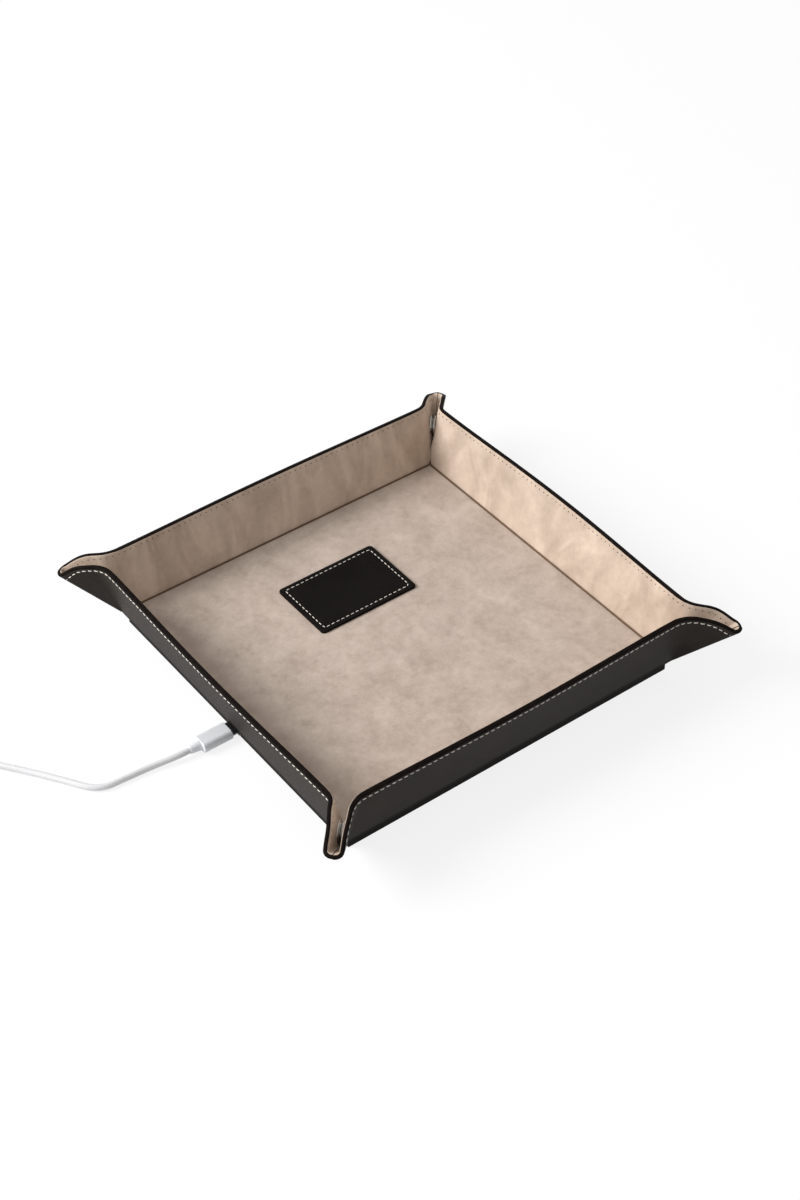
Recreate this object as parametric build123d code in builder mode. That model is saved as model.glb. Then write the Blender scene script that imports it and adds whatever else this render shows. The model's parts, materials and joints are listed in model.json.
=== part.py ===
"""Snap-up leather valet tray: slab base with a charging pad, four hinged walls, eight corner leaves.

Frame: +Z up, origin at the middle of the underside, -Y the front wall, -X the side with the cable.
Every wall is built as the front one and turned about Z. Lengths are in mm, angles in degrees.
"""

from build123d import *
import math
import os

# ---- slab ----
SLAB = 176.0
SLAB_HEIGHT = 5.5
WRAP = 0.6
# ---- layers of the floor and of the walls ----
LEATHER = 1.0
BOARD = 0.9
SUEDE = 0.6
GAP = 0.15
# ---- walls ----
LEAN = 13.0
BULGE = 2.09
WALL_HEIGHT = 32.5
WALL_FOOT = 1.7
WALL_END_GAP = 0.8
# ---- corner leaves ----
LEAF_ANGLE = 44.5
LEAF_FOOT = 5.0
LEAF_STIFFENER = 0.4
LEAF_SUEDE = 0.7
LIP_FOOT = 13.0
TIP_RADIUS = 2.5
HINGE_REACH = 0.8
LIP_GAP = 0.2
# ---- press snaps ----
SNAP_DIAMETER = 10.5
SNAP_UP = 18.3
SNAP_OUT = 7.5
SNAP_SHORT = 0.1
SNAP_REACH = 10.0
STUD_DIAMETER = 3.8
STUD_REACH = 1.0
SOCKET_CLEARANCE = 0.8
# ---- charging patch on the floor and module in the slab ----
PATCH_X = 0.7
PATCH_Y = 36.6
PATCH_LENGTH = 53.5
PATCH_WIDTH = 37.0
PATCH_RAISE = 1.2
PATCH_CORNER = 3.0
PATCH_EDGE = 0.4
COIL_OUTER = 43.0
COIL_INNER = 20.0
COIL_THICK = 1.2
FERRITE = 45.0
FERRITE_THICK = 0.8
POCKET_FIT = 1.0
BOARD_LENGTH = 30.0
BOARD_WIDTH = 18.0
BOARD_THICK = 1.0
LEAD_DIAMETER = 0.8
LEAD_SPACING = 2.0
CHANNEL_WIDTH = 6.0
LEAD_TAPE = 5.0
POCKET_CUT = 10.0
# ---- port and plug ----
PORT_Y = -2.0
PORT_Z = 2.75
PORT_WIDTH = 9.0
PORT_HEIGHT = 3.2
PORT_WALL = 0.3
PORT_DEPTH = 7.4
TONGUE_WIDTH = 6.7
TONGUE_THICK = 0.7
TONGUE_LENGTH = 4.4
BEZEL_RIM = 0.9
BEZEL_THICK = 0.4
TIP_FIT = 0.15
TIP_WALL = 0.35
TIP_INSERTED = 5.8
PLUG_STANDOFF = 3.5
PLUG_LENGTH = 15.0
PLUG_WIDTH = 9.25
PLUG_HEIGHT = 5.0
PLUG_CORNER = 2.2
PLUG_EDGE = 0.6
BOOT_LENGTH = 5.0
BOOT_WIDE = 5.0
BOOT_NARROW = 3.8
# ---- cable ----
CORD = 3.0
TURN_STEP = 1.75
INNER_RADIUS = 9.5
TURNS_IN = 7
TURNS_OUT = 8
LAYER_STEP = 3.5
TIE_THICK = 0.5
TIE_WIDTH = 4.0
TIE_FIT = 0.3
COIL_HEADING = 128.5
LIMP_BEND = 3.0
BEND_SHARE = 0.45
COIL_LEAD_IN = 20.0
# ---- computer end of the cable ----
USB_BOOT = 6.0
USB_LENGTH = 20.0
USB_WIDTH = 15.5
USB_HEIGHT = 7.5
USB_SHELL_LENGTH = 16.0
USB_SHELL_WIDTH = 12.0
USB_SHELL_HEIGHT = 4.5
USB_SHELL_WALL = 0.4
USB_EDGE = 1.5

WALLS = ("front", "right", "back", "left")

# ---- derived values ----
HALF = SLAB / 2
PIVOT_Y = HALF + BULGE - LEATHER / 2
PIVOT_Z = SLAB_HEIGHT + LEATHER / 2
FLOOR_END = PIVOT_Y - LEATHER / 2 - GAP
LINING_END = PIVOT_Y - WALL_FOOT
FLOOR_TOP = SLAB_HEIGHT + LEATHER + BOARD + SUEDE
WALL_END = PIVOT_Y - WALL_END_GAP
SIN_LEAN = math.sin(math.radians(LEAN))
COS_LEAN = math.cos(math.radians(LEAN))
SIN_LEAF = math.sin(math.radians(LEAF_ANGLE))
COS_LEAF = math.cos(math.radians(LEAF_ANGLE))

P0 = Vector(PIVOT_Y, -PIVOT_Y, PIVOT_Z)
UP_WALL = Vector(0, -SIN_LEAN, COS_LEAN)
OUT_WALL = Vector(0, -COS_LEAN, -SIN_LEAN)
IN_WALL = Vector(0, COS_LEAN, SIN_LEAN)
ALONG_LEAF = Vector(COS_LEAF, 0, 0) + OUT_WALL * SIN_LEAF
OUT_LEAF = ALONG_LEAF.cross(UP_WALL)
DIAGONAL = Vector(math.sqrt(0.5), math.sqrt(0.5), 0)

# The rounded spine: each leaf bends a near quarter turn and meets its twin on the diagonal plane.
SECTION_NORM = math.hypot(1.0, COS_LEAN)
SPREAD = SIN_LEAN / SECTION_NORM
CLOSING = (COS_LEAF - SIN_LEAF * COS_LEAN) / SECTION_NORM
LIP_TURN = math.pi / 2 - math.asin(CLOSING)
COS_CLOSING = math.cos(math.asin(CLOSING))
LIP_RADIUS = WALL_HEIGHT * (SPREAD - CLOSING) / (COS_CLOSING - CLOSING * LIP_TURN)
LEAF_FLAT = WALL_HEIGHT - LIP_RADIUS * LIP_TURN
LEAF_INNER = LEATHER / 2 + LEAF_STIFFENER
LIP_OVERSHOOT = 12.0


def front_plane(height, inward):
    """Plane of the front wall, u running to -X, v up the wall, starting height up and inward in."""
    corner = Vector(0, -PIVOT_Y, PIVOT_Z) + UP_WALL * height + IN_WALL * inward
    return Plane(origin=corner, x_dir=(-1, 0, 0), z_dir=IN_WALL)


def half_space(normal, clearance):
    """Everything on the near side of the upright plane through the middle with this normal."""
    with BuildPart() as space:
        with BuildSketch(Plane(origin=normal * -clearance, z_dir=normal * -1)):
            Rectangle(6 * SLAB, 6 * SLAB)
        extrude(amount=3 * SLAB)
    return space.part


def stadium(plane, width, height, depth):
    """A flat-sided, round-ended bar along the plane's normal."""
    with BuildPart() as bar:
        with BuildSketch(plane):
            SlotOverall(width, height)
        extrude(amount=depth)
    return bar.part


NEAR_SIDE = half_space(DIAGONAL, GAP)
NEAR_SIDE_LEFT = NEAR_SIDE.mirror(Plane.YZ)
LEAF_SIDE = half_space(DIAGONAL, LIP_GAP)


# ---- base: slab ----
def slab_wrap():
    """Leather skin under and round the slab, with the port's hole."""
    with BuildPart() as wrap:
        with Locations((0, 0, SLAB_HEIGHT / 2)):
            Box(SLAB, SLAB, SLAB_HEIGHT)
        with Locations((0, 0, WRAP + SLAB_HEIGHT / 2)):
            Box(SLAB - 2 * WRAP, SLAB - 2 * WRAP, SLAB_HEIGHT, mode=Mode.SUBTRACT)
        add(port_hole(), mode=Mode.SUBTRACT)
    return wrap.part


def port_plane(x):
    """Plane across the port at x, its normal towards +X."""
    return Plane(origin=(x, PORT_Y, PORT_Z), x_dir=(0, 1, 0), z_dir=(1, 0, 0))


def port_hole():
    return stadium(port_plane(-HALF - WRAP), PORT_WIDTH, PORT_HEIGHT, PORT_DEPTH + WRAP)


def slab_frame():
    """Stiff core of the slab, with pockets for the charging module and its leads."""
    core = SLAB - 2 * WRAP
    height = SLAB_HEIGHT - WRAP
    pocket = FERRITE + POCKET_FIT
    pocket_floor = SLAB_HEIGHT - COIL_THICK - FERRITE_THICK
    with BuildPart() as frame:
        with Locations((0, 0, WRAP + height / 2)):
            Box(core, core, height)
        with Locations((PATCH_X, PATCH_Y, pocket_floor + POCKET_CUT / 2)):
            Box(pocket, pocket, POCKET_CUT, mode=Mode.SUBTRACT)
        with Locations((BOARD_X, PORT_Y, BOARD_BASE + POCKET_CUT / 2)):
            Box(BOARD_LENGTH + POCKET_FIT, BOARD_WIDTH + POCKET_FIT, POCKET_CUT, mode=Mode.SUBTRACT)
        with Locations((LEAD_MIDDLE_X, LEAD_Y, BOARD_BASE + POCKET_CUT / 2)):
            Box(LEAD_REACH, CHANNEL_WIDTH, POCKET_CUT, mode=Mode.SUBTRACT)
        with Locations((LEAD_X, LEAD_MIDDLE_Y, BOARD_BASE + POCKET_CUT / 2)):
            Box(CHANNEL_WIDTH, LEAD_RISE, POCKET_CUT, mode=Mode.SUBTRACT)
        add(port_hole(), mode=Mode.SUBTRACT)
    return frame.part


BOARD_START = -HALF + PORT_DEPTH
BOARD_X = BOARD_START + BOARD_LENGTH / 2
BOARD_BASE = PORT_Z - BOARD_THICK / 2
LEAD_Y = PORT_Y
LEAD_X = -8.0
LEAD_START = BOARD_START + BOARD_LENGTH
LEAD_REACH = LEAD_X - LEAD_START + CHANNEL_WIDTH
LEAD_MIDDLE_X = LEAD_START + LEAD_REACH / 2 - CHANNEL_WIDTH / 2
LEAD_TOP = PATCH_Y - FERRITE / 2 - POCKET_FIT / 2
LEAD_RISE = LEAD_TOP - LEAD_Y
LEAD_MIDDLE_Y = LEAD_Y + LEAD_RISE / 2


def charging_coil():
    """Flat wound transmitter coil, kept as a ring."""
    with BuildPart() as coil:
        with Locations((PATCH_X, PATCH_Y, SLAB_HEIGHT - COIL_THICK / 2)):
            Cylinder(COIL_OUTER / 2, COIL_THICK)
            Cylinder(COIL_INNER / 2, COIL_THICK, mode=Mode.SUBTRACT)
    return coil.part


def ferrite_sheet():
    with BuildPart() as sheet:
        with Locations((PATCH_X, PATCH_Y, SLAB_HEIGHT - COIL_THICK - FERRITE_THICK / 2)):
            Box(FERRITE, FERRITE, FERRITE_THICK)
    return sheet.part


def charger_board():
    with BuildPart() as board:
        with Locations((BOARD_X, PORT_Y, PORT_Z)):
            Box(BOARD_LENGTH, BOARD_WIDTH, BOARD_THICK)
    return board.part


def coil_leads():
    """Two wires from the board to the coil's pocket, joined by the tape that holds them."""
    length = LEAD_X - LEAD_START
    with BuildPart() as leads:
        for side in (-1, 1):
            inner = LEAD_X - side * LEAD_SPACING / 2
            corner = inner + LEAD_DIAMETER / 2
            with Locations(((LEAD_START + corner) / 2, LEAD_Y + side * LEAD_SPACING / 2, PORT_Z)):
                Box(corner - LEAD_START, LEAD_DIAMETER, LEAD_DIAMETER)
            start = LEAD_Y + side * LEAD_SPACING / 2
            with Locations((inner, (start + LEAD_TOP) / 2, PORT_Z)):
                Box(LEAD_DIAMETER, LEAD_TOP - start, LEAD_DIAMETER)
        with Locations((LEAD_START + length / 2, LEAD_Y, PORT_Z - LEAD_DIAMETER / 4)):
            Box(LEAD_TAPE, LEAD_SPACING + LEAD_DIAMETER, LEAD_DIAMETER / 2)
    return leads.part


def port_shell():
    """Steel receptacle shell set in the slab's left side."""
    with BuildPart() as shell:
        add(stadium(port_plane(-HALF), PORT_WIDTH, PORT_HEIGHT, PORT_DEPTH))
        bore = stadium(port_plane(-HALF), PORT_WIDTH - 2 * PORT_WALL, PORT_HEIGHT - 2 * PORT_WALL, PORT_DEPTH)
        add(bore, mode=Mode.SUBTRACT)
    return shell.part


def port_tongue():
    with BuildPart() as tongue:
        with Locations((BOARD_START - TONGUE_LENGTH / 2, PORT_Y, PORT_Z)):
            Box(TONGUE_LENGTH, TONGUE_WIDTH, TONGUE_THICK)
    return tongue.part


def port_bezel():
    """Dark ring round the port's mouth."""
    plane = port_plane(-HALF - BEZEL_THICK)
    with BuildPart() as bezel:
        add(stadium(plane, PORT_WIDTH + 2 * BEZEL_RIM, PORT_HEIGHT + 2 * BEZEL_RIM, BEZEL_THICK))
        add(stadium(plane, PORT_WIDTH, PORT_HEIGHT, BEZEL_THICK), mode=Mode.SUBTRACT)
    return bezel.part


# ---- base: floor ----
def floor_layer(half, base, thickness):
    with BuildPart() as layer:
        with Locations((0, 0, base + thickness / 2)):
            Box(2 * half, 2 * half, thickness)
    return layer.part


def charging_patch():
    """Raised leather patch that marks the charging place."""
    with BuildPart() as patch:
        with BuildSketch(Plane.XY.offset(FLOOR_TOP)):
            with Locations((PATCH_X, PATCH_Y)):
                RectangleRounded(PATCH_LENGTH, PATCH_WIDTH, PATCH_CORNER)
        extrude(amount=PATCH_RAISE)
        fillet(patch.faces().sort_by(Axis.Z)[-1].edges(), radius=PATCH_EDGE)
    return patch.part


# ---- walls ----
def wall_leather():
    """Outer leather of the front wall, hinged on the bead along its foot."""
    with BuildPart() as wall:
        with BuildSketch(front_plane(0, -LEATHER / 2)):
            with Locations((0, WALL_HEIGHT / 2)):
                Rectangle(2 * WALL_END, WALL_HEIGHT)
        extrude(amount=LEATHER)
        with BuildSketch(Plane(origin=(-WALL_END, -PIVOT_Y, PIVOT_Z), z_dir=(1, 0, 0))):
            Circle(LEATHER / 2)
        extrude(amount=2 * WALL_END)
    return wall.part


def wall_lining(inward, thickness):
    """Stiffener or suede of the front wall, mitred to clear the next wall's."""
    height = WALL_HEIGHT - WALL_FOOT
    with BuildPart() as lining:
        with BuildSketch(front_plane(WALL_FOOT, inward)):
            with Locations((0, height / 2)):
                Rectangle(2 * WALL_END, height)
        extrude(amount=thickness)
        add(NEAR_SIDE, mode=Mode.INTERSECT)
        add(NEAR_SIDE_LEFT, mode=Mode.INTERSECT)
    return lining.part


# ---- corner leaves ----
def leaf_plane(inward):
    """Plane of the leaf at the front wall's right end: u along the leaf, v up its hinge."""
    return Plane(origin=P0 - OUT_LEAF * inward, x_dir=ALONG_LEAF, z_dir=OUT_LEAF * -1)


def leaf_outline():
    """Side view of the leaf with its tip rounded, u and v as in leaf_plane."""
    reach = LEAF_FLAT + LIP_RADIUS + LEATHER
    with BuildPart() as outline:
        with BuildSketch(leaf_plane(-LIP_RADIUS)) as side:
            with BuildLine():
                Polyline(
                    (-LEATHER, -LEAF_FOOT),
                    (reach * LEAF_FOOT / WALL_HEIGHT, -LEAF_FOOT),
                    (reach, -WALL_HEIGHT),
                    (-LEATHER, -WALL_HEIGHT),
                    close=True,
                )
            make_face()
            fillet(side.vertices().sort_by_distance((reach, -WALL_HEIGHT))[0], radius=TIP_RADIUS)
        extrude(amount=3 * LIP_RADIUS)
    return outline.part


def leaf_flat(inward, thickness, start):
    """Flat part of one layer of the leaf, from its hinge to where its spine starts to bend."""
    with BuildPart() as flat:
        with BuildSketch(leaf_plane(inward)):
            with BuildLine():
                Polyline(
                    (start, -LEAF_FOOT),
                    (LEAF_FLAT * LEAF_FOOT / WALL_HEIGHT, -LEAF_FOOT),
                    (LEAF_FLAT, -WALL_HEIGHT),
                    (start, -WALL_HEIGHT),
                    close=True,
                )
            make_face()
        extrude(amount=thickness)
    return flat.part


def lip_section(height, inward, thickness):
    """Cut across the bent lip at this height up the hinge."""
    scale = height / WALL_HEIGHT
    radius = LIP_RADIUS * scale
    centre = (LEAF_FLAT * scale, radius)
    turn = math.degrees(LIP_TURN) + LIP_OVERSHOOT
    plane = Plane(origin=P0 + UP_WALL * height, x_dir=ALONG_LEAF, z_dir=UP_WALL)
    with BuildSketch(plane) as section:
        with BuildLine():
            outer = CenterArc(centre, radius - inward, -90, turn)
            inner = CenterArc(centre, radius - inward - thickness, -90, turn)
            Line(outer @ 0, inner @ 0)
            Line(outer @ 1, inner @ 1)
        make_face()
    return section.sketch


def leaf_lip(inward, thickness):
    with BuildPart() as lip:
        add(lip_section(LIP_FOOT, inward, thickness))
        add(lip_section(WALL_HEIGHT, inward, thickness))
        loft(ruled=True)
    return lip.part


def snap_centre():
    """Point on the diagonal plane that both halves of a snap share."""
    on_leaf = P0 + UP_WALL * SNAP_UP + ALONG_LEAF * SNAP_OUT
    return on_leaf - DIAGONAL * on_leaf.dot(DIAGONAL)


def snap_bar(diameter, start, length):
    """Cylinder on the snap's axis, from start short of the diagonal plane back towards the leaf."""
    with BuildPart() as bar:
        with BuildSketch(Plane(origin=snap_centre() - DIAGONAL * start, z_dir=DIAGONAL * -1)):
            Circle(diameter / 2)
        extrude(amount=length)
    return bar.part


def behind_leather():
    """Everything on the suede side of the leaf's leather."""
    with BuildPart() as space:
        with BuildSketch(leaf_plane(LEAF_INNER)):
            Rectangle(SLAB, SLAB)
        extrude(amount=WALL_HEIGHT)
    return space.part


def leaf_leather():
    """Leather of the leaf, with the bead that it hinges on."""
    bead = WALL_HEIGHT - LEAF_FOOT
    with BuildPart() as leaf:
        add(leaf_flat(-LEATHER / 2, LEATHER, 0))
        add(leaf_flat(0, LEAF_INNER, HINGE_REACH))
        add(leaf_lip(-LEATHER / 2, LEATHER / 2 + LEAF_INNER))
        with BuildSketch(Plane(origin=P0 + UP_WALL * LEAF_FOOT, z_dir=UP_WALL)):
            Circle(LEATHER / 2)
        extrude(amount=bead)
        add(leaf_outline(), mode=Mode.INTERSECT)
        add(LEAF_SIDE, mode=Mode.INTERSECT)
    return leaf.part


def leaf_suede():
    """Suede lining of the leaf, with the hole for its snap."""
    with BuildPart() as leaf:
        add(leaf_flat(LEAF_INNER, LEAF_SUEDE, HINGE_REACH))
        add(leaf_lip(LEAF_INNER, LEAF_SUEDE))
        add(leaf_outline(), mode=Mode.INTERSECT)
        add(LEAF_SIDE, mode=Mode.INTERSECT)
        add(snap_bar(SNAP_DIAMETER, -STUD_REACH, SNAP_REACH + 2 * STUD_REACH), mode=Mode.SUBTRACT)
    return leaf.part


def snap_stud():
    with BuildPart() as stud:
        add(snap_bar(SNAP_DIAMETER, SNAP_SHORT, SNAP_REACH))
        add(behind_leather(), mode=Mode.INTERSECT)
        add(snap_bar(STUD_DIAMETER, -STUD_REACH, STUD_REACH + SNAP_SHORT))
    return stud.part


def snap_socket():
    with BuildPart() as socket:
        add(snap_bar(SNAP_DIAMETER, SNAP_SHORT, SNAP_REACH))
        add(behind_leather(), mode=Mode.INTERSECT)
        add(snap_bar(STUD_DIAMETER + SOCKET_CLEARANCE, 0, STUD_REACH + 2 * SNAP_SHORT), mode=Mode.SUBTRACT)
    return socket.part


# ---- cable ----
HEADING = Vector(math.cos(math.radians(COIL_HEADING)), math.sin(math.radians(COIL_HEADING)), 0)
SIDEWAYS = Vector(HEADING.Y, -HEADING.X, 0)
COIL_Z = TIE_THICK + TIE_FIT / 2 + CORD / 2
COIL_START = Vector(-202.0, 67.2, COIL_Z)
OUTER_RADIUS = INNER_RADIUS + TURNS_IN * TURN_STEP
COIL_CENTRE = COIL_START - SIDEWAYS * OUTER_RADIUS
PLUG_FACE = -HALF - PLUG_STANDOFF
BOOT_START = PLUG_FACE - PLUG_LENGTH
RUN_START = BOOT_START - BOOT_LENGTH

RUN_POINTS = [
    Vector(RUN_START, PORT_Y, PORT_Z),
    Vector(-117.5, PORT_Y, PORT_Z),
    Vector(-128.5, 0.7, 1.6),
    Vector(-142.0, 1.8, 1.5),
    Vector(-155.0, 2.6, 1.5),
    Vector(-164.0, 17.0, 1.5),
    Vector(-174.0, 31.6, 1.5),
    COIL_START - HEADING * COIL_LEAD_IN,
    COIL_START,
]
COIL_END = COIL_START + Vector(0, 0, LAYER_STEP)
# The tail's points, as ahead, aside and down from the coil's end.
USB_DOWN = COIL_END.Z - USB_HEIGHT / 2
TAIL_STEPS = [(0, 0, 0), (12, 0, 0), (26, 1, 3.6), (38, 3, USB_DOWN), (46, 5, USB_DOWN)]
TAIL_POINTS = [
    COIL_END + HEADING * ahead + SIDEWAYS * aside - Vector(0, 0, down)
    for ahead, aside, down in TAIL_STEPS
]


def bend_radii(points):
    """Bend at each inner point, from the shorter run beside it and the turn there."""
    radii = []
    for before, here, after in zip(points, points[1:], points[2:]):
        half_turn = math.radians((here - before).get_angle(after - here)) / 2
        shorter = min((here - before).length, (after - here).length)
        radii.append(BEND_SHARE * shorter / math.tan(half_turn))
    return radii


def tube(name, points):
    """Round tube along straight runs and tangent arcs, with its size checked against its length."""
    radii = bend_radii(points)
    with BuildPart() as cord:
        with BuildLine() as path:
            FilletPolyline(*points, radius=radii)
        start = path.wires()[0] ^ 0
        with BuildSketch(Plane(origin=points[0], z_dir=start.z_axis.direction)):
            Circle(CORD / 2)
        sweep()
    length = path.wires()[0].length
    expected = math.pi * (CORD / 2) ** 2 * length
    print(name, "least bend", round(min(radii), 1), "limit", LIMP_BEND * CORD)
    print(name, "length", round(length, 1), "volume ratio", round(cord.part.volume / expected, 4))
    return cord.part


def half_turns():
    """Half turns as start, middle and end: in on the lower layer, one that climbs, out on the upper."""
    counts = list(range(TURNS_IN, 0, -1)) + [0] + list(range(1, TURNS_OUT + 1))
    here = COIL_START
    side = 1
    turns = []
    for index, count in enumerate(counts):
        radius = INNER_RADIUS + count * TURN_STEP
        climb = Vector(0, 0, LAYER_STEP if index == TURNS_IN else 0)
        end = here - SIDEWAYS * (2 * radius * side) + climb
        reach = (end - here).length / 2
        middle = (here + end) * 0.5 + HEADING * (reach * side)
        turns.append((here, middle, end))
        here = end
        side = -side
    return turns


def least_gap(turns, samples=24):
    """Least distance between the coil's own turns, on points, less the cable's diameter."""
    points = []
    for start, middle, end in turns:
        arc = ThreePointArc(start, middle, end, mode=Mode.PRIVATE)
        points += [arc @ (step / samples) for step in range(samples)]
    least = math.inf
    for index, point in enumerate(points):
        for other in points[index + samples:]:
            least = min(least, (point - other).length)
    return least - CORD


def cord_coil():
    """Put-away cable, one unbroken tube in two layers of flat spiral."""
    turns = half_turns()
    with BuildPart() as coil:
        with BuildLine() as path:
            for start, middle, end in turns:
                ThreePointArc(start, middle, end)
        with BuildSketch(Plane(origin=COIL_START, z_dir=HEADING)):
            Circle(CORD / 2)
        sweep()
    length = path.wires()[0].length
    expected = math.pi * (CORD / 2) ** 2 * length
    print("coil length", round(length, 1), "volume ratio", round(coil.part.volume / expected, 4))
    print("coil least gap to itself", round(least_gap(turns), 2))
    return coil.part


def cord_tie():
    """Flat band round the coil's turns on one side."""
    inside = INNER_RADIUS - CORD / 2 - 2 * TIE_FIT
    outside = INNER_RADIUS + TURNS_OUT * TURN_STEP + CORD / 2 + TIE_FIT / 2
    height = LAYER_STEP + CORD + TIE_FIT
    centre = COIL_CENTRE - SIDEWAYS * TURN_STEP - HEADING * ((inside + outside) / 2)
    plane = Plane(origin=(centre.X, centre.Y, TIE_THICK + height / 2), x_dir=HEADING, z_dir=SIDEWAYS)
    with BuildPart() as tie:
        with BuildSketch(plane):
            Rectangle(outside - inside + 2 * TIE_THICK, height + 2 * TIE_THICK)
            Rectangle(outside - inside, height, mode=Mode.SUBTRACT)
        extrude(amount=TIE_WIDTH / 2, both=True)
    return tie.part


# ---- slab end of the cable ----
def plug_tip():
    """Metal tube of the plug, part way into the port."""
    width = PORT_WIDTH - 2 * PORT_WALL - 2 * TIP_FIT
    height = PORT_HEIGHT - 2 * PORT_WALL - 2 * TIP_FIT
    length = PLUG_STANDOFF + TIP_INSERTED
    plane = port_plane(PLUG_FACE)
    with BuildPart() as tip:
        add(stadium(plane, width, height, length))
        add(stadium(plane, width - 2 * TIP_WALL, height - 2 * TIP_WALL, length), mode=Mode.SUBTRACT)
    return tip.part


def plug_body():
    with BuildPart() as body:
        with BuildSketch(port_plane(PLUG_FACE)):
            RectangleRounded(PLUG_WIDTH, PLUG_HEIGHT, PLUG_CORNER)
        extrude(amount=-PLUG_LENGTH)
        fillet(body.faces().sort_by(Axis.X)[0].edges(), radius=PLUG_EDGE)
        fillet(body.faces().sort_by(Axis.X)[-1].edges(), radius=PLUG_EDGE)
    return body.part


def boot(origin, direction, length, wide, narrow):
    """Strain relief, wide at the plug and narrow where the cable leaves it."""
    with BuildPart() as relief:
        with BuildSketch(Plane(origin=origin, z_dir=direction)):
            Circle(wide / 2)
        with BuildSketch(Plane(origin=origin + direction * length, z_dir=direction)):
            Circle(narrow / 2)
        loft()
    return relief.part


# ---- computer end of the cable ----
TAIL_END = TAIL_POINTS[-1]
TAIL_RUN = TAIL_END - TAIL_POINTS[-2]
USB_WAY = Vector(TAIL_RUN.X, TAIL_RUN.Y, 0).normalized()


def usb_plane(distance):
    """Plane across the plug this far beyond the end of the cable."""
    return Plane(origin=TAIL_END + USB_WAY * distance, x_dir=USB_WAY.cross(Vector(0, 0, 1)), z_dir=USB_WAY)


def usb_body():
    with BuildPart() as body:
        with BuildSketch(usb_plane(USB_BOOT)):
            RectangleRounded(USB_WIDTH, USB_HEIGHT, USB_EDGE)
        extrude(amount=USB_LENGTH)
    return body.part


def usb_shell():
    with BuildPart() as shell:
        with BuildSketch(usb_plane(USB_BOOT + USB_LENGTH)):
            Rectangle(USB_SHELL_WIDTH, USB_SHELL_HEIGHT)
            Rectangle(
                USB_SHELL_WIDTH - 2 * USB_SHELL_WALL,
                USB_SHELL_HEIGHT - 2 * USB_SHELL_WALL,
                mode=Mode.SUBTRACT,
            )
        extrude(amount=USB_SHELL_LENGTH)
    return shell.part


def base_parts():
    lining = SLAB_HEIGHT + LEATHER
    return {
        "slab_wrap": slab_wrap(),
        "slab_frame": slab_frame(),
        "charging_coil": charging_coil(),
        "ferrite_sheet": ferrite_sheet(),
        "charger_board": charger_board(),
        "coil_leads": coil_leads(),
        "port_shell": port_shell(),
        "port_tongue": port_tongue(),
        "port_bezel": port_bezel(),
        "floor_leather": floor_layer(FLOOR_END, SLAB_HEIGHT, LEATHER),
        "floor_board": floor_layer(LINING_END, lining, BOARD),
        "floor_suede": floor_layer(LINING_END, lining + BOARD, SUEDE),
        "charging_patch": charging_patch(),
    }


def cable_parts():
    boot_origin = Vector(BOOT_START, PORT_Y, PORT_Z)
    return {
        "plug_tip": plug_tip(),
        "plug_body": plug_body(),
        "plug_boot": boot(boot_origin, Vector(-1, 0, 0), BOOT_LENGTH, BOOT_WIDE, BOOT_NARROW),
        "cord_run": tube("run", RUN_POINTS),
        "cord_coil": cord_coil(),
        "cord_tail": tube("tail", TAIL_POINTS),
        "cord_tie": cord_tie(),
        "usb_boot": boot(TAIL_END + USB_WAY * USB_BOOT, USB_WAY * -1, USB_BOOT, BOOT_WIDE, BOOT_NARROW),
        "usb_body": usb_body(),
        "usb_shell": usb_shell(),
    }


def wall_parts():
    """Layers of the front wall and of the leaves at its two ends, named for the wall and the corner."""
    inner = LEATHER / 2
    layers = {
        "leather": wall_leather(),
        "board": wall_lining(inner, BOARD),
        "suede": wall_lining(inner + BOARD, SUEDE),
    }
    leaf = {"leather": leaf_leather(), "suede": leaf_suede()}
    snap = {1: snap_stud(), -1: snap_socket().mirror(Plane.YZ)}
    parts = {}
    for index, wall in enumerate(WALLS):
        turn = Rotation(0, 0, 90 * index)
        for layer, solid in layers.items():
            parts[f"wall_{wall}_{layer}"] = turn * solid
        for end in (1, -1):
            leaf_name = f"leaf_{wall}_{WALLS[(index + end) % 4]}"
            for layer, solid in leaf.items():
                parts[f"{leaf_name}_{layer}"] = turn * (solid if end == 1 else solid.mirror(Plane.YZ))
            parts[f"{leaf_name}_snap"] = turn * snap[end]
    return parts


os.makedirs("parts", exist_ok=True)
every_part = {**base_parts(), **cable_parts(), **wall_parts()}
for node, solid in every_part.items():
    export_step(solid, f"parts/{node}.step")
print(len(every_part), "nodes")
print("lip radius", round(LIP_RADIUS, 2), "leaf flat", round(LEAF_FLAT, 2))
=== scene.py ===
"""Looks of the snap-up leather valet tray: leather skins, suede lining, stitches, snaps and cable.

Shapes are worked out in mm in the front wall's own frame, then turned about Z for the other walls.
"""

import json
import math

import bpy
from mathutils import Matrix, Vector, noise


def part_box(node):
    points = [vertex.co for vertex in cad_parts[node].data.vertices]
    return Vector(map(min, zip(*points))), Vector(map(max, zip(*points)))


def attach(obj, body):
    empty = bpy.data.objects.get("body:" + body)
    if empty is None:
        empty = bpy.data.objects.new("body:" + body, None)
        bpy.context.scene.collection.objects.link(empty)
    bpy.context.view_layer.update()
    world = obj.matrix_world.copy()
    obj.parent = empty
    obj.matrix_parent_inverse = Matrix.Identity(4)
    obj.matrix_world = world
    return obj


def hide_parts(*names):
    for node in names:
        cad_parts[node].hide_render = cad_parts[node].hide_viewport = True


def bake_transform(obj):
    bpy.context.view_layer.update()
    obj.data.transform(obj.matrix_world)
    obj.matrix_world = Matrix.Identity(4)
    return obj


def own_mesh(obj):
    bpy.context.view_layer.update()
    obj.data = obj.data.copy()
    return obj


MM = 0.001
WALLS = ("front", "right", "back", "left")

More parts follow.
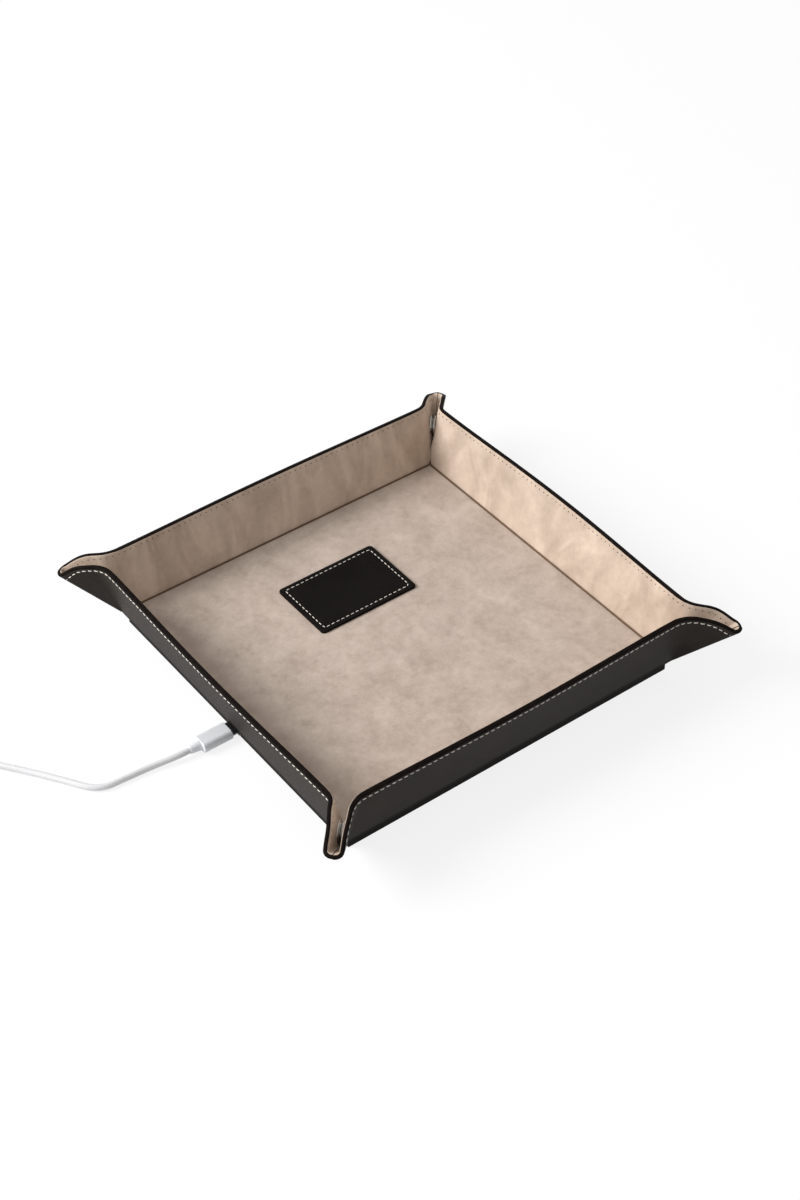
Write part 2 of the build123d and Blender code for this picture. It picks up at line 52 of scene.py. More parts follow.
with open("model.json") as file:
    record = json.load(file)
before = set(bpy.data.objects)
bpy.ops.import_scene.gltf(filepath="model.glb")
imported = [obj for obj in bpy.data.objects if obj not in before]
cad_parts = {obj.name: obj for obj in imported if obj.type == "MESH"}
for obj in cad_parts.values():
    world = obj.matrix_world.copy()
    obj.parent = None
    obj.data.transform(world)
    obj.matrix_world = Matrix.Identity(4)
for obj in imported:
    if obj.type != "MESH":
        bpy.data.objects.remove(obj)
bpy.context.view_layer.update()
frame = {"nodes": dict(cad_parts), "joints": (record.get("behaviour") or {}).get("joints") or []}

# ---- places read from the frame, mm ----
FOLD = next(joint for joint in frame["joints"] if joint["name"] == "wall_front_fold")
LEAF_HINGE = next(joint for joint in frame["joints"] if joint["name"] == "leaf_front_right_fold")
PIVOT_Y = -FOLD["pos_m"][1] / MM
PIVOT_Z = FOLD["pos_m"][2] / MM
SLAB_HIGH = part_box("slab_wrap")[1]
SLAB_HALF = SLAB_HIGH[0] / MM
SLAB_TOP = SLAB_HIGH[2] / MM
FLOOR_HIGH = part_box("floor_suede")[1]
FLOOR_HALF = FLOOR_HIGH[0] / MM
FLOOR_TOP = FLOOR_HIGH[2] / MM
PATCH_LOW, PATCH_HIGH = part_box("charging_patch")

# ---- walls and leaves, as the CAD has them, mm ----
# Depths run inward from the plane of the hinges, and feet are heights above the hinges.
WALL_HEIGHT = 32.5
LEATHER_OUT = -0.5
WALL_LEATHER_IN = 1.4
WALL_SUEDE_IN = 2.0
LEAF_LEATHER_IN = 0.9
LEAF_SUEDE_IN = 1.6
SKIN_FOOT = 2.0
SUEDE_FOOT = 1.7
LEAF_SKIN_FOOT = 0.7
SPINE_OVERLAP = 0.03
LEAF_ANGLE = math.radians(44.5)

# ---- directions of the front wall and of the corner at its right end ----
UP = Vector(LEAF_HINGE["axis"])
OUT = Vector((0, -UP.z, UP.y))
ACROSS = Vector((1, 0, 0))
ALONG_LEAF = ACROSS * math.cos(LEAF_ANGLE) + OUT * math.sin(LEAF_ANGLE)
CORNER_FOOT = Vector((PIVOT_Y, -PIVOT_Y, PIVOT_Z))
DIAGONAL = Vector((math.sqrt(0.5), math.sqrt(0.5), 0))
# In the plane of ACROSS and OUT: the way to the diagonal, and how far off it is for each mm of height.
NORM = math.hypot(1.0, UP.z)
TO_DIAGONAL = (1.0 / NORM, -UP.z / NORM)
SPREAD = -UP.y / NORM

# ---- what the photo shows, mm ----
# How far each rim stands out at mid wall, and how far its suede ripples.
BOW = {"front": 1.3, "right": 2.9, "back": 1.7, "left": 1.3}
DRAPE = {"front": 0.4, "right": 1.0, "back": 0.5, "left": 0.4}
# Radius, at the rim, of the bend from a wall into its leaf.
BEND = {
    "leaf_front_right": 17.0,
    "leaf_front_left": 13.0,
    "leaf_right_front": 9.0,
    "leaf_right_back": 6.0,
    "leaf_back_right": 8.0,
    "leaf_back_left": 12.0,
    "leaf_left_back": 14.0,
    "leaf_left_front": 7.0,
}
# How far a leaf is pressed in between its bend and its loop.
PINCH = {"leaf_left_front": 0.7, "leaf_front_left": 0.3, "leaf_right_front": -1.0}
USUAL_PINCH = 0.2
# The corner that each leaf belongs to, by its place in the picture, and how far the rim dips there.
CORNER_OF = {
    "leaf_front_left": "front",
    "leaf_left_front": "front",
    "leaf_front_right": "right",
    "leaf_right_front": "right",
    "leaf_right_back": "back",
    "leaf_back_right": "back",
    "leaf_back_left": "left",
    "leaf_left_back": "left",
}
TIP_DROP = {"front": 4.6, "right": 4.9, "back": 5.4, "left": 6.2}
DROP_START = 0.25


# ---------------------------------------------------------------- materials
# Texture scales are per metre, bumps in metres. Tints have an alpha, other colours don't.
IOR = 1.5

LEATHER_ROUGHNESS = 0.5
LEATHER_SWING = 0.16
LEATHER_TINT = (1.0, 0.94, 0.88, 1.0)
LEATHER_CELLS = 1300.0
LEATHER_CELL_EDGE = 0.16
LEATHER_FINE = 2600.0
LEATHER_BROAD = 45.0
LEATHER_RELIEF = (4.0, 0.5)
USUAL_GRAIN = 0.00006
PATCH_GRAIN = 0.00009

EDGE_ROUGHNESS = 0.6
EDGE_SPECULAR = 0.03
EDGE_DARK = (0.004, 0.0026, 0.0022)
EDGE_LIGHT = (0.011, 0.0072, 0.006)
EDGE_TONE = 300.0
EDGE_BRUSH = 900.0
EDGE_BUMP = 0.00005

SUEDE_ROUGHNESS = 0.95
SUEDE_SPECULAR = 0.15
SUEDE_SHEEN = 0.25
SUEDE_SHEEN_ROUGHNESS = 0.45
SUEDE_TINT = (1.0, 0.93, 0.85, 1.0)
SUEDE_FIBRES = 2400.0
SUEDE_NAP = 320.0
SUEDE_CLOUDS = 30.0
# Slanting streaks: painted shade of the lining's wrinkles.
SUEDE_STREAKS = 75.0
STREAK_TURN = (0.5, 0.35, 0.4)
STREAK_STRETCH = (1.0, 0.7, 0.3)
SUEDE_RELIEF = (0.6, 1.2)
SUEDE_BUMP = 0.00012

THREAD_ROUGHNESS = 0.7
THREAD_TWIST = 900.0
THREAD_WANDER = 1.5
THREAD_BUMP = 0.00004

METAL_TONE = 700.0
METAL_DARKER = 0.88
METAL_SWING = 0.14

PLASTIC_TONE = 900.0
PLASTIC_DARKER = 0.95
PLASTIC_BUMP = 0.00002
BOARD_TONE = 260.0


def new_material(name, roughness):
    """A new material with its node tree and its shader."""
    material = bpy.data.materials.new(name)
    material.use_nodes = True
    shader = material.node_tree.nodes["Principled BSDF"]
    shader.inputs["Roughness"].default_value = roughness
    shader.inputs["IOR"].default_value = IOR
    return material, material.node_tree, shader


def texture_place(tree):
    return tree.nodes.new("ShaderNodeTexCoord").outputs["Object"]


def add_noise(tree, place, scale, detail=4.0, roughness=0.55, distortion=0.0):
    node = tree.nodes.new("ShaderNodeTexNoise")
    node.inputs["Distortion"].default_value = distortion
    node.inputs["Scale"].default_value = scale
    node.inputs["Detail"].default_value = detail
    node.inputs["Roughness"].default_value = roughness
    tree.links.new(place, node.inputs["Vector"])
    return node.outputs["Fac"]


def add_math(tree, kind, first, second):
    node = tree.nodes.new("ShaderNodeMath")
    node.operation = kind
    for socket, value in zip(node.inputs, (first, second)):
        if isinstance(value, (int, float)):
            socket.default_value = value
        else:
            tree.links.new(value, socket)
    return node.outputs["Value"]


def weighted_sum(tree, layers, shares):
    """The layers added up, each times its share."""
    total = add_math(tree, "MULTIPLY", layers[0], shares[0])
    for layer, share in zip(layers[1:], shares[1:]):
        total = add_math(tree, "ADD", total, add_math(tree, "MULTIPLY", layer, share))
    return total


def colour_by(tree, shader, value, *stops):
    """Base colour that goes with a value between two stops, each a (place, colour)."""
    ramp = tree.nodes.new("ShaderNodeValToRGB")
    for element, (place, colour) in zip(ramp.color_ramp.elements, stops):
        element.position = place
        element.color = (*colour, 1.0)
    tree.links.new(value, ramp.inputs["Fac"])
    tree.links.new(ramp.outputs["Color"], shader.inputs["Base Color"])


def vary_roughness(tree, shader, value, roughness, swing):
    """Roughness that goes with a value, half the swing to either side."""
    rough = add_math(tree, "ADD", add_math(tree, "MULTIPLY", value, swing), roughness - swing / 2)
    tree.links.new(rough, shader.inputs["Roughness"])


def add_bump(tree, shader, height, distance):
    """Relief of the surface that goes with a height."""
    node = tree.nodes.new("ShaderNodeBump")
    node.inputs["Strength"].default_value = 1.0
    node.inputs["Distance"].default_value = distance
    tree.links.new(height, node.inputs["Height"])
    tree.links.new(node.outputs["Normal"], shader.inputs["Normal"])


def darkened(colour, share):
    return tuple(channel * share for channel in colour)


def leather_material(name, base, worn, specular, grain=USUAL_GRAIN):
    """Black leather: pebbled grain, faint worn patches, satin finish."""
    material, tree, shader = new_material(name, LEATHER_ROUGHNESS)
    shader.inputs["Specular IOR Level"].default_value = specular
    shader.inputs["Specular Tint"].default_value = LEATHER_TINT
    place = texture_place(tree)
    cells = tree.nodes.new("ShaderNodeTexVoronoi")
    cells.feature = "DISTANCE_TO_EDGE"
    cells.inputs["Scale"].default_value = LEATHER_CELLS
    tree.links.new(place, cells.inputs["Vector"])
    cell_edge = add_math(tree, "MINIMUM", cells.outputs["Distance"], LEATHER_CELL_EDGE)
    fine = add_noise(tree, place, LEATHER_FINE, 3.0)
    broad = add_noise(tree, place, LEATHER_BROAD, 5.0)
    colour_by(tree, shader, broad, (0.3, base), (0.75, worn))
    add_bump(tree, shader, weighted_sum(tree, (cell_edge, fine), LEATHER_RELIEF), grain)
    vary_roughness(tree, shader, broad, LEATHER_ROUGHNESS, LEATHER_SWING)
    return material


def edge_material():
    """Dark painted cut edge, smoother than the grain."""
    material, tree, shader = new_material("edge_paint", EDGE_ROUGHNESS)
    shader.inputs["Specular IOR Level"].default_value = EDGE_SPECULAR
    place = texture_place(tree)
    colour_by(tree, shader, add_noise(tree, place, EDGE_TONE), (0.3, EDGE_DARK), (0.8, EDGE_LIGHT))
    add_bump(tree, shader, add_noise(tree, place, EDGE_BRUSH, 3.0), EDGE_BUMP)
    return material


def suede_material(name, dark, light, shares):
    """Napped suede with a soft sheen. shares weigh its fibres, nap, brushed clouds and slanting streaks; the
    streaks are painted shade of wrinkles.
    """
    material, tree, shader = new_material(name, SUEDE_ROUGHNESS)
    shader.inputs["Specular IOR Level"].default_value = SUEDE_SPECULAR
    shader.inputs["Sheen Weight"].default_value = SUEDE_SHEEN
    shader.inputs["Sheen Roughness"].default_value = SUEDE_SHEEN_ROUGHNESS
    shader.inputs["Sheen Tint"].default_value = SUEDE_TINT
    place = texture_place(tree)
    fibres = add_noise(tree, place, SUEDE_FIBRES, 5.0, 0.7)
    nap = add_noise(tree, place, SUEDE_NAP, 5.0, 0.65)
    clouds = add_noise(tree, place, SUEDE_CLOUDS, 3.0, 0.5, 1.5)
    # Slanting streaks of painted wrinkle shade.
    slanted = tree.nodes.new("ShaderNodeMapping")
    slanted.inputs["Rotation"].default_value = STREAK_TURN
    slanted.inputs["Scale"].default_value = STREAK_STRETCH
    tree.links.new(place, slanted.inputs["Vector"])
    streaks = add_noise(tree, slanted.outputs["Vector"], SUEDE_STREAKS, 2.0, 0.5, 1.4)
    mixed = weighted_sum(tree, (fibres, nap, clouds, streaks), shares)
    colour_by(tree, shader, mixed, (0.32, dark), (0.66, light))
    add_bump(tree, shader, weighted_sum(tree, (fibres, nap), SUEDE_RELIEF), SUEDE_BUMP)
    return material


def thread_material(name, colour, dark):
    """Twisted thread, darker between its strands."""
    material, tree, shader = new_material(name, THREAD_ROUGHNESS)
    twist = tree.nodes.new("ShaderNodeTexWave")
    twist.bands_direction = "DIAGONAL"
    twist.inputs["Scale"].default_value = THREAD_TWIST
    twist.inputs["Distortion"].default_value = THREAD_WANDER
    tree.links.new(texture_place(tree), twist.inputs["Vector"])
    colour_by(tree, shader, twist.outputs["Fac"], (0.1, dark), (0.7, colour))
    add_bump(tree, shader, twist.outputs["Fac"], THREAD_BUMP)
    return material


def metal_material(name, colour, roughness):
    """Metal with faint changes of tone and polish."""
    material, tree, shader = new_material(name, roughness)
    shader.inputs["Metallic"].default_value = 1.0
    tone = add_noise(tree, texture_place(tree), METAL_TONE)
    colour_by(tree, shader, tone, (0.3, darkened(colour, METAL_DARKER)), (0.7, colour))
    vary_roughness(tree, shader, tone, roughness, METAL_SWING)
    return material


def plastic_material(name, colour, roughness, scale=PLASTIC_TONE):
    """Moulded or pressed material with a faint texture."""
    material, tree, shader = new_material(name, roughness)
    tone = add_noise(tree, texture_place(tree), scale, 3.0)
    colour_by(tree, shader, tone, (0.3, darkened(colour, PLASTIC_DARKER)), (0.7, colour))
    add_bump(tree, shader, tone, PLASTIC_BUMP)
    return material


LEATHER = leather_material("black_leather", (0.023, 0.0195, 0.0168), (0.037, 0.0315, 0.0270), 0.03)
# The slab's wrap and the fold rolls: the black leather darkened as painted shade near the ground.
SLAB_SHADED_LEATHER = leather_material("slab_shaded_leather", (0.005, 0.0043, 0.0039), (0.009, 0.0078, 0.0070), 0.04)
PATCH_LEATHER = leather_material(
    "patch_leather", (0.003, 0.0026, 0.0025), (0.0065, 0.0056, 0.0052), 0.05, PATCH_GRAIN
)
EDGE_PAINT = edge_material()
# Shares of fibres, nap, brushed clouds and slanting streaks; the walls weigh the streaks of painted wrinkle
# shade most.
WALL_NAP_AND_SHADE = (0.20, 0.16, 0.24, 0.40)
FLOOR_NAP = (0.28, 0.26, 0.28, 0.18)
SUEDE = suede_material("tan_suede", (0.36, 0.275, 0.21), (0.70, 0.570, 0.465), WALL_NAP_AND_SHADE)
# The floor's copy of the suede: greyer than the walls' suede, and darker as painted shade.
FLOOR_SHADED_SUEDE = suede_material("floor_suede", (0.316, 0.248, 0.20), (0.614, 0.513, 0.442), FLOOR_NAP)
# Dark brown suede in the creases, also on the floor board seen through them: painted shade of the grooves.
CREASE_SHADE_SUEDE = suede_material("crease_shade_suede", (0.12, 0.075, 0.048), (0.2, 0.13, 0.085), FLOOR_NAP)
THREAD = thread_material("cream_thread", (0.88, 0.83, 0.74), (0.58, 0.53, 0.46))
# Dark dashes where the stitches pierce the suede: painted shade in the holes.
HOLE_SHADE = thread_material("stitch_hole_shade", (0.03, 0.02, 0.015), (0.012, 0.008, 0.006))
NICKEL = metal_material("nickel", (0.60, 0.59, 0.57), 0.22)
DARK_METAL = metal_material("dark_metal", (0.16, 0.16, 0.17), 0.35)
STEEL = metal_material("plug_steel", (0.46, 0.46, 0.47), 0.3)
WHITE = plastic_material("white_plastic", (0.70, 0.71, 0.73), 0.38)
JACKET = plastic_material("white_jacket", (0.66, 0.66, 0.67), 0.5)
BLACK_PLASTIC = plastic_material("black_plastic", (0.02, 0.02, 0.02), 0.5)
FIBRE_BOARD = plastic_material("fibre_board", (0.4, 0.31, 0.22), 0.9, BOARD_TONE)
COPPER = metal_material("copper", (0.8, 0.45, 0.28), 0.35)
FERRITE = plastic_material("ferrite", (0.05, 0.05, 0.05), 0.7)
SOLDER_MASK = plastic_material("solder_mask", (0.02, 0.12, 0.05), 0.35)
SLEEVE = plastic_material("wire_sleeve", (0.35, 0.03, 0.03), 0.5)

NODE_MATERIALS = {
    "slab_wrap": SLAB_SHADED_LEATHER,
    "slab_frame": FIBRE_BOARD,
    "charging_coil": COPPER,
    "ferrite_sheet": FERRITE,
    "charger_board": SOLDER_MASK,
    "coil_leads": SLEEVE,
    "port_shell": DARK_METAL,
    "port_tongue": BLACK_PLASTIC,
    "port_bezel": BLACK_PLASTIC,
    "floor_leather": LEATHER,
    # The floor board takes the creases' painted shade.
    "floor_board": CREASE_SHADE_SUEDE,
    "plug_tip": DARK_METAL,
    "plug_body": WHITE,
    "plug_boot": WHITE,
    "cord_tie": WHITE,
    "usb_boot": WHITE,
    "usb_body": WHITE,
    "usb_shell": STEEL,
}


def paint_nodes():
    for node, material in NODE_MATERIALS.items():
        for slot in frame["nodes"][node].material_slots:
            slot.material = material


# ---------------------------------------------------------------- helpers
def clamp(share):
    return min(1.0, max(0.0, share))


def smooth(share):
    """A share from 0 to 1 with a gentle start and end."""
    share = clamp(share)
    return share * share * (3 - 2 * share)


def spread(first, last, steps):
    """Even values from the first to the last."""
    return [first + (last - first) * step / steps for step in range(steps + 1)]


def leaf_of(wall, mirrored):
    """The leaf at a wall's right end, or at its left end if mirrored."""
    other = WALLS[(WALLS.index(wall) + (-1 if mirrored else 1)) % 4]
    return f"leaf_{wall}_{other}"


def placed(point, wall, mirrored):
    """From the front wall's frame in mm to the row frame in metres."""
    x = -point.x if mirrored else point.x
    turn = Matrix.Rotation(math.radians(90 * WALLS.index(wall)), 3, "Z")
    return turn @ Vector((x, point.y, point.z)) * MM


def build_mesh(name, points, faces, materials, face_materials=None):
    mesh = bpy.data.meshes.new(name)
    mesh.from_pydata(points, [], faces)
    for material in materials:
        mesh.materials.append(material)
    mesh.polygons.foreach_set("use_smooth", [True] * len(mesh.polygons))
    if face_materials:
        mesh.polygons.foreach_set("material_index", face_materials)
    mesh.update()
    piece = bpy.data.objects.new(name, mesh)
    bpy.context.scene.collection.objects.link(piece)
    return piece


def grid_mesh(name, rows, materials, flip, row_material=None):
    """Quads over rows of points. row_material gives the slot of the faces after each row."""
    columns = len(rows[0])
    points = [point for row in rows for point in row]
    faces = []
    slots = []
    for r in range(len(rows) - 1):
        for c in range(columns - 1):
            corner = r * columns + c
            quad = (corner, corner + 1, corner + columns + 1, corner + columns)
            faces.append(quad[::-1] if flip else quad)
            slots.append(row_material[r] if row_material else 0)
    return build_mesh(name, points, faces, materials, slots)


# ---------------------------------------------------------------- leather surface
BOW_RISE = 1.5
WALL_STEPS = 36
BEND_STEPS = 12
LEAF_STEPS = 12
LOOP_STEPS = 14


def leaf_shape(leaf):
    """The section of a wall's end and its leaf, for a height of 1: bend, straight, half loop."""
    bend = BEND[leaf] / WALL_HEIGHT
    half_bend = bend * LEAF_ANGLE / 2
    start = (-half_bend + bend * math.sin(LEAF_ANGLE), bend * (1 - math.cos(LEAF_ANGLE)))
    gap = SPREAD - start[0] * TO_DIAGONAL[0] - start[1] * TO_DIAGONAL[1]
    sine = math.cos(LEAF_ANGLE) * TO_DIAGONAL[0] + math.sin(LEAF_ANGLE) * TO_DIAGONAL[1]
    closing = math.asin(sine)
    turn = math.pi / 2 - closing
    radius = (gap - sine * (1 - half_bend)) / (math.cos(closing) - sine * turn)
    return {
        "bend": bend,
        "half_bend": half_bend,
        "start": start,
        "straight": 1 - half_bend - radius * turn,
        "radius": radius,
        "loop": 1 - radius * turn,
        "drop": TIP_DROP[CORNER_OF[leaf]],
        "pinch": PINCH.get(leaf, USUAL_PINCH),
    }


def section_point(shape, sigma):
    """Across, out and heading of the section at sigma times the height from the hinge."""
    if sigma <= -shape["half_bend"]:
        return sigma, 0.0, 0.0
    if sigma < shape["half_bend"]:
        heading = (sigma + shape["half_bend"]) / shape["bend"]
        across = -shape["half_bend"] + shape["bend"] * math.sin(heading)
        return across, shape["bend"] * (1 - math.cos(heading)), heading
    run = min(sigma - shape["half_bend"], shape["straight"])
    across = shape["start"][0] + run * math.cos(LEAF_ANGLE)
    out = shape["start"][1] + run * math.sin(LEAF_ANGLE)
    turned = (sigma - shape["half_bend"] - run) / shape["radius"]
    heading = LEAF_ANGLE - turned
    across += shape["radius"] * (math.sin(LEAF_ANGLE) - math.sin(heading))
    out += shape["radius"] * (math.cos(heading) - math.cos(LEAF_ANGLE))
    return across, out, heading


def rim_height(shape, sigma):
    """Height of the rim, which drops towards the tip of the corner loop."""
    return WALL_HEIGHT - shape["drop"] * smooth((sigma - DROP_START) / (1 - DROP_START))


def foot_height(shape, sigma):
    """Height of the lowest edge of the skin, lower on the leaf than on the wall."""
    share = (sigma + shape["half_bend"]) / (2 * shape["half_bend"])
    return SKIN_FOOT + (LEAF_SKIN_FOOT - SKIN_FOOT) * clamp(share)


def leather_point(shape, s, p, w, bow):
    """Point in the front wall's frame: s along from the leaf's hinge, p up from the fold, w inward."""
    across, out, heading = section_point(shape, s / p)
    tangent = ACROSS * math.cos(heading) + OUT * math.sin(heading)
    inward = ACROSS * math.sin(heading) - OUT * math.cos(heading)
    rising = Vector(UP)
    if s / p > -shape["half_bend"]:
        rising = UP + ACROSS * across + OUT * out
    normal = tangent.cross(rising).normalized()
    if normal.dot(inward) < 0:
        normal = -normal
    point = CORNER_FOOT + UP * p + (ACROSS * across + OUT * out) * p + normal * w
    if s < 0:
        share = (PIVOT_Y + s) / PIVOT_Y
        point += OUT * (bow * (p / WALL_HEIGHT) ** BOW_RISE * (1 - share * share) ** 2)
    along_leaf = (s / p - shape["half_bend"]) / (shape["loop"] - shape["half_bend"])
    if 0 < along_leaf < 1:
        point += normal * (shape["pinch"] * math.sin(math.pi * along_leaf) ** 2 * p / WALL_HEIGHT)
    excess = point.dot(DIAGONAL) - SPINE_OVERLAP
    if excess > 0:
        point -= DIAGONAL * excess
    return point


def surface_point(shape, column, p, w, bow):
    """Point of a column whose p runs from the foot to the rim, both taken from where the column is."""
    sigma = column(WALL_HEIGHT) / WALL_HEIGHT
    foot = foot_height(shape, sigma)
    level = foot + (p - SKIN_FOOT) * (rim_height(shape, sigma) - foot) / (WALL_HEIGHT - SKIN_FOOT)
    return leather_point(shape, column(level), level, w, bow)


def wall_columns(shape, with_loop):
    """Functions of p that give each column's s, from mid wall to the loop or over the loop only."""
    if with_loop:
        return [lambda p, k=k: k * p for k in spread(shape["loop"], 1.0, LOOP_STEPS)]
    columns = []
    for share in spread(0.0, 1.0, WALL_STEPS)[:-1]:
        columns.append(lambda p, k=share: -PIVOT_Y * (1 - k) - shape["half_bend"] * p * k)
    for sigma in spread(-shape["half_bend"], shape["half_bend"], BEND_STEPS)[:-1]:
        columns.append(lambda p, k=sigma: k * p)
    for sigma in spread(shape["half_bend"], shape["loop"], LEAF_STEPS):
        columns.append(lambda p, k=sigma: k * p)
    return columns


def layer_depth(shape, sigma, wall_depth, leaf_depth):
    """Depth of a layer's face, which is thinner on the leaf than on the wall."""
    reach = 2 * shape["half_bend"]
    return wall_depth + (leaf_depth - wall_depth) * smooth((sigma + reach) / (2 * reach))


# ---------------------------------------------------------------- skin and lining
# Down from the rim: where the grain ends and the paint starts, and the tuck under the lining as (down, in).
GRAIN_END = 1.1
PAINT_START = 0.9
RIM_TUCK = ((1.2, 0.15), (2.0, 0.7))
RIM_ROUND = 0.6
RIM_WALL_IN = 1.95
RIM_LEAF_IN = 1.25
SKIN_STEPS = 10
ROUND_STEPS = 4
# The lining's cut top as (down from the rim, share of its thickness), the ends of its face, and its
# rolled foot as (up from the skin's foot, share of its thickness).
LINING_TOP = ((1.0, 0.2), (0.62, 0.5), (0.55, 0.8), (0.7, 0.95))
FACE_DOWN = 1.1
FACE_UP = 0.4
FACE_STEPS = 16
LINING_FOOT = ((0.1, 0.9), (-0.2, 0.6), (-0.3, 0.0))
# The ripple's still band and fading band at the rim and at the foot, and its noise per mm.
RIM_STILL = 1.0
RIM_FADE = 7.0
FOOT_STILL = 3.5
FOOT_FADE = 8.0
RIPPLE_ALONG = 0.10
RIPPLE_LEAN = 0.06
RIPPLE_UP = 0.02
RIPPLE_APART = 7.0
# Where a skin's blend is taken: the share of the height, and the least share of it to either side.
BLEND_LEVEL = 0.7
BLEND_REACH = 0.07


def skin_profile():
    """Leather from the foot over the painted rim, as (p, depth from outside, depth from inside, slot)."""
    rounding = []
    for angle in spread(0.0, 90.0, ROUND_STEPS):
        turn = math.radians(angle)
        level = WALL_HEIGHT - RIM_ROUND * (1 - math.sin(turn))
        rounding.append((level, RIM_ROUND * (1 - math.cos(turn))))
    profile = [(p, 0.0, None, 0) for p in spread(SKIN_FOOT, WALL_HEIGHT - GRAIN_END, SKIN_STEPS)]
    profile += [(WALL_HEIGHT - down, 0.0, None, 1) for down in (PAINT_START, RIM_ROUND)]
    profile += [(level, depth, None, 1) for level, depth in rounding[1:]]
    profile += [(level, None, depth, 1) for level, depth in reversed(rounding)]
    profile += [(WALL_HEIGHT - down, None, depth, 1) for down, depth in RIM_TUCK]
    return profile


def skin_rows(shape, columns, bow, wall, mirrored):
    """Leather skin as rows from the foot up, with the material slot of each row."""
    rows = []
    slots = []
    for p, from_outside, from_inside, slot in skin_profile():
        row = []
        for column in columns:
            sigma = column(WALL_HEIGHT) / WALL_HEIGHT
            if from_inside is None:
                w = LEATHER_OUT + from_outside
            else:
                w = layer_depth(shape, sigma, RIM_WALL_IN, RIM_LEAF_IN) - from_inside
            row.append(placed(surface_point(shape, column, p, w, bow), wall, mirrored))
        rows.append(row)
        slots.append(slot)
    return rows, slots


def lining_profile():
    """Suede from its cut top edge down to its rolled foot, as (p, share of its thickness)."""
    face = spread(WALL_HEIGHT - FACE_DOWN, SKIN_FOOT + FACE_UP, FACE_STEPS)
    profile = [(WALL_HEIGHT - down, share) for down, share in LINING_TOP]
    profile += [(p, 1.0) for p in face]
    profile += [(SKIN_FOOT + up, share) for up, share in LINING_FOOT]
    return profile


def ripple(point, p, wall):
    """Ripple of the lining's face, which fades towards the rim and the foot."""
    free = clamp((WALL_HEIGHT - p - RIM_STILL) / RIM_FADE) * clamp((p - FOOT_STILL) / FOOT_FADE)
    along = point.x * RIPPLE_ALONG + point.z * RIPPLE_LEAN
    streak = Vector((along, point.z * RIPPLE_UP, RIPPLE_APART * WALLS.index(wall)))
    return noise.noise(streak) * DRAPE[wall] * free


def suede_rows(shape, columns, bow, wall, mirrored):
    """Suede lining as rows from the rim down."""
    rows = []
    for p, share in lining_profile():
        row = []
        for column in columns:
            sigma = column(WALL_HEIGHT) / WALL_HEIGHT
            low = layer_depth(shape, sigma, WALL_LEATHER_IN, LEAF_LEATHER_IN)
            high = layer_depth(shape, sigma, WALL_SUEDE_IN, LEAF_SUEDE_IN)
            point = surface_point(shape, column, p, low + (high - low) * share, bow)
            point -= OUT * (ripple(point, p, wall) * share)
            row.append(placed(point, wall, mirrored))
        rows.append(row)
    return rows


def blend_ends(shape, wall, mirrored):
    """Where the leather stops following its wall, and where it follows its leaf."""
    height = WALL_HEIGHT * BLEND_LEVEL
    reach = max(shape["half_bend"], BLEND_REACH) * height
    start = leather_point(shape, -reach, height, 0.0, 0.0)
    end = leather_point(shape, reach, height, 0.0, 0.0)
    return placed(start, wall, mirrored), placed(end, wall, mirrored)


# ---------------------------------------------------------------- stitches
# Lengths in mm. The sink lowers the stitches further for each mm that the rim dips.
STITCH_DOWN = 2.35
STITCH_SINK = 0.05
STITCH_PITCH = 3.0
STITCH_LENGTH = 2.25
STITCH_RADIUS = 0.27
STITCH_SLANT = 0.35
HOLE_LENGTH = 0.55
HOLES_END = 0.95
PATCH_THREAD = 0.21
PATH_STEPS = 60
MID_LEATHER = 0.5
# A stitch's rings as (share of its length, share of its radius, lift in radii), and its section.
STITCH_RINGS = ((0.0, 0.45, -0.9), (0.14, 0.9, -0.1), (0.5, 1.0, 0.15), (0.86, 0.9, -0.1), (1.0, 0.45, -0.9))
STITCH_SIDES = 7
STITCH_FLAT = 0.8


def stitch(points, faces, first, last, outward, radius):
    """One stitch as a tapered thread that dives in at both ends."""
    along = last - first
    across = along.cross(outward).normalized()
    up = across.cross(along).normalized()
    base = len(points)
    for share, size, lift in STITCH_RINGS:
        centre = first + along * share + up * (radius * lift)
        for side in range(STITCH_SIDES):
            angle = 2 * math.pi * side / STITCH_SIDES
            offset = across * math.cos(angle) + up * (math.sin(angle) * STITCH_FLAT)
            points.append(centre + offset * (radius * size))
    for ring in range(len(STITCH_RINGS) - 1):
        for side in range(STITCH_SIDES):
            a = base + ring * STITCH_SIDES + side
            b = base + ring * STITCH_SIDES + (side + 1) % STITCH_SIDES
            faces.append((a, b, b + STITCH_SIDES, a + STITCH_SIDES))
    last_ring = base + (len(STITCH_RINGS) - 1) * STITCH_SIDES
    faces.append(tuple(base + side for side in range(STITCH_SIDES)))
    faces.append(tuple(last_ring + side for side in reversed(range(STITCH_SIDES))))


def rim_path(shape, bow, inside):
    """Line that the rim's stitches follow, as (sigma, point, outward) in the front wall's frame."""
    path = []
    level = WALL_HEIGHT - STITCH_DOWN
    stops = [s / level for s in spread(-PIVOT_Y, -shape["half_bend"] * level, PATH_STEPS)]
    stops += spread(-shape["half_bend"], 1.0, PATH_STEPS)[1:]
    for sigma in stops:
        top = rim_height(shape, sigma)
        p = top - STITCH_DOWN * (1 + STITCH_SINK * (WALL_HEIGHT - top))
        depth = layer_depth(shape, sigma, WALL_SUEDE_IN, LEAF_SUEDE_IN) if inside else LEATHER_OUT
        middle = leather_point(shape, sigma * p, p, MID_LEATHER, bow)
        point = leather_point(shape, sigma * p, p, depth, bow)
        path.append((sigma, point, (point - middle).normalized()))
    return path


def along_path(path, lengths, distance):
    """Point, outward and sigma at a distance along a rim path."""
    for index in range(len(path) - 1):
        if distance <= lengths[index + 1] or index == len(path) - 2:
            share = (distance - lengths[index]) / (lengths[index + 1] - lengths[index])
            first, last = path[index], path[index + 1]
            sigma = first[0] + (last[0] - first[0]) * share
            break
    return first[1].lerp(last[1], share), first[2].lerp(last[2], share), sigma


